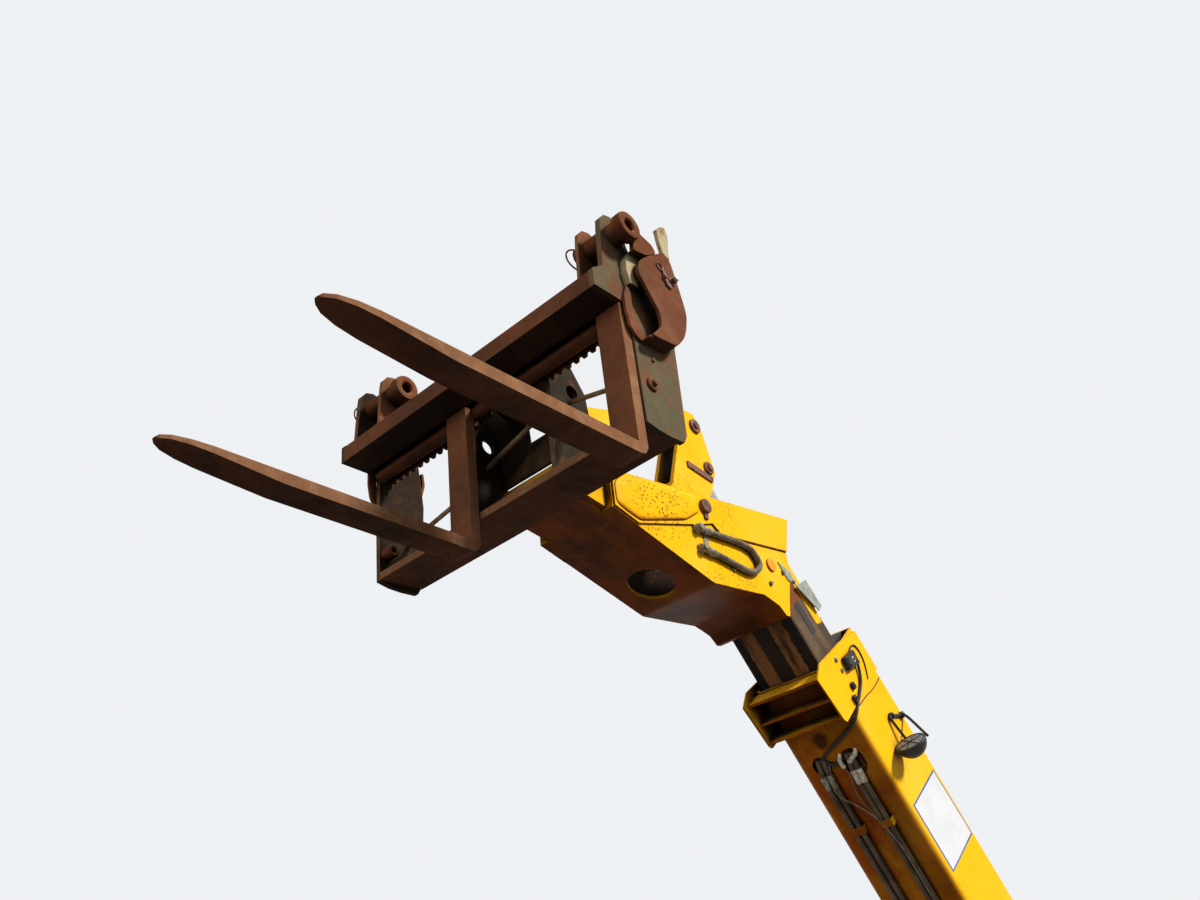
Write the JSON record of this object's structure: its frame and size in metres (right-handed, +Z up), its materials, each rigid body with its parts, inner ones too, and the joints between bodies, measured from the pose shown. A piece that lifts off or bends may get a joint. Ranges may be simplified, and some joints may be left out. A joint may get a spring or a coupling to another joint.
{
  "type": "telescopic handler boom with fork carriage",
  "caption": "Telescopic handler boom: outer boom, sliding inner boom with gooseneck head, tilt lever and link, and a tilting fork carriage with two sliding forks.",
  "frame": {"origin": "centre of the boom's rear pivot bore", "axes": "+X forwards along the machine, +Y to the machine's left along the pivot, +Z up; the boom is raised as in the picture"},
  "size_m": [5.2109, 1.438, 3.0523],
  "materials": {
    "bare_boom": "greased, worn paint",
    "chrome_rod": "polished",
    "fork_steel": "rusty",
    "green_plate": "worn, dusty",
    "hose_rubber": "matt",
    "lamp_plastic": "matt",
    "pad_plastic": "matt",
    "rusty_steel": "rusty",
    "yellow_paint": "worn gloss",
    "zinc_steel": "satin"
  },
  "bodies": {
    "outer": {"extension_barrel": "zinc_steel", "extension_pin": "rusty_steel", "hose_clamps": "yellow_paint", "hoses_left": "hose_rubber", "hoses_right": "hose_rubber", "lamp_bracket": "lamp_plastic", "outer_boom": "yellow_paint", "sensor_block": "lamp_plastic", "wear_pad_lower": "pad_plastic", "wear_pad_side_left": "pad_plastic", "wear_pad_side_right": "pad_plastic", "wear_pad_upper_left": "pad_plastic", "wear_pad_upper_right": "pad_plastic", "work_lamp": "lamp_plastic"},
    "inner": {"boom_head": "yellow_paint", "coupler_hose": "hose_rubber", "couplers": "zinc_steel", "extension_eye_pin": "rusty_steel", "extension_rod": "chrome_rod", "guard_plates": "zinc_steel", "inner_boom": "bare_boom", "lever_pin": "rusty_steel", "tilt_anchor_pin": "rusty_steel"},
    "lever": {"tilt_lever": "yellow_paint"},
    "link": {"tilt_link": "yellow_paint"},
    "tilt_barrel": {"tilt_barrel": "zinc_steel"},
    "tilt_rod": {"tilt_rod": "chrome_rod"},
    "fork_left": {"fork_left": "fork_steel"},
    "fork_right": {"fork_right": "fork_steel"},
    "carriage": {"bottom_plate": "rusty_steel", "flag_pin_left": "rusty_steel", "flag_pin_right": "rusty_steel", "fork_bar": "rusty_steel", "fork_rack": "rusty_steel", "hinge_pin": "rusty_steel", "hitch_plate_left": "rusty_steel", "hitch_plate_right": "rusty_steel", "hook_housing_left": "rusty_steel", "hook_housing_right": "rusty_steel", "latch_levers": "rusty_steel", "link_ear_left": "rusty_steel", "link_ear_right": "rusty_steel", "link_pin": "rusty_steel", "pin_ear_left": "rusty_steel", "pin_ear_right": "rusty_steel", "side_plate_left": "green_plate", "side_plate_right": "green_plate", "top_beam": "rusty_steel"}
  },
  "joints": [
    {"name": "boom_extend", "type": "slide", "parent": "outer", "child": "inner", "axis": [0.7466, 0, 0.6652], "range_m": [-0.1, 1.9]},
    {"name": "carriage_tilt", "type": "hinge", "parent": "inner", "child": "carriage", "pos_m": [3.71235, 0, 1.99047], "axis": [0, 1, 0], "range_deg": [-25, 45]},
    {"name": "tilt_lever", "type": "hinge", "parent": "inner", "child": "lever", "pos_m": [3.03214, 0, 2.18325], "axis": [0, 1, 0], "range_deg": [-18.8, 32.3]},
    {"name": "tilt_link", "type": "hinge", "parent": "carriage", "child": "link", "pos_m": [3.80962, 0, 2.30412], "axis": [0, 1, 0], "range_deg": [-36.8, 21.3]},
    {"name": "tilt_cylinder", "type": "hinge", "parent": "inner", "child": "tilt_barrel", "pos_m": [2.11645, 0, 1.75845], "axis": [0, 1, 0], "range_deg": [-5, 8]},
    {"name": "tilt_stroke", "type": "slide", "parent": "tilt_barrel", "child": "tilt_rod", "axis": [0.6524, 0, 0.7579], "range_m": [-0.126, 0.218]},
    {"name": "fork_left_slide", "type": "slide", "parent": "carriage", "child": "fork_left", "axis": [0, 1, 0], "range_m": [-0.53, 0]},
    {"name": "fork_right_slide", "type": "slide", "parent": "carriage", "child": "fork_right", "axis": [0, 1, 0], "range_m": [-0.45, 0.07]}
  ],
  "couplings": [
    {"joint": "tilt_lever", "follows": "carriage_tilt", "ratio": 0.67363},
    {"joint": "tilt_link", "follows": "carriage_tilt", "ratio": -0.77285},
    {"joint": "tilt_cylinder", "follows": "carriage_tilt", "ratio": 0.11252},
    {"joint": "tilt_stroke", "follows": "carriage_tilt", "m_per_rad": 0.26504}
  ]
}
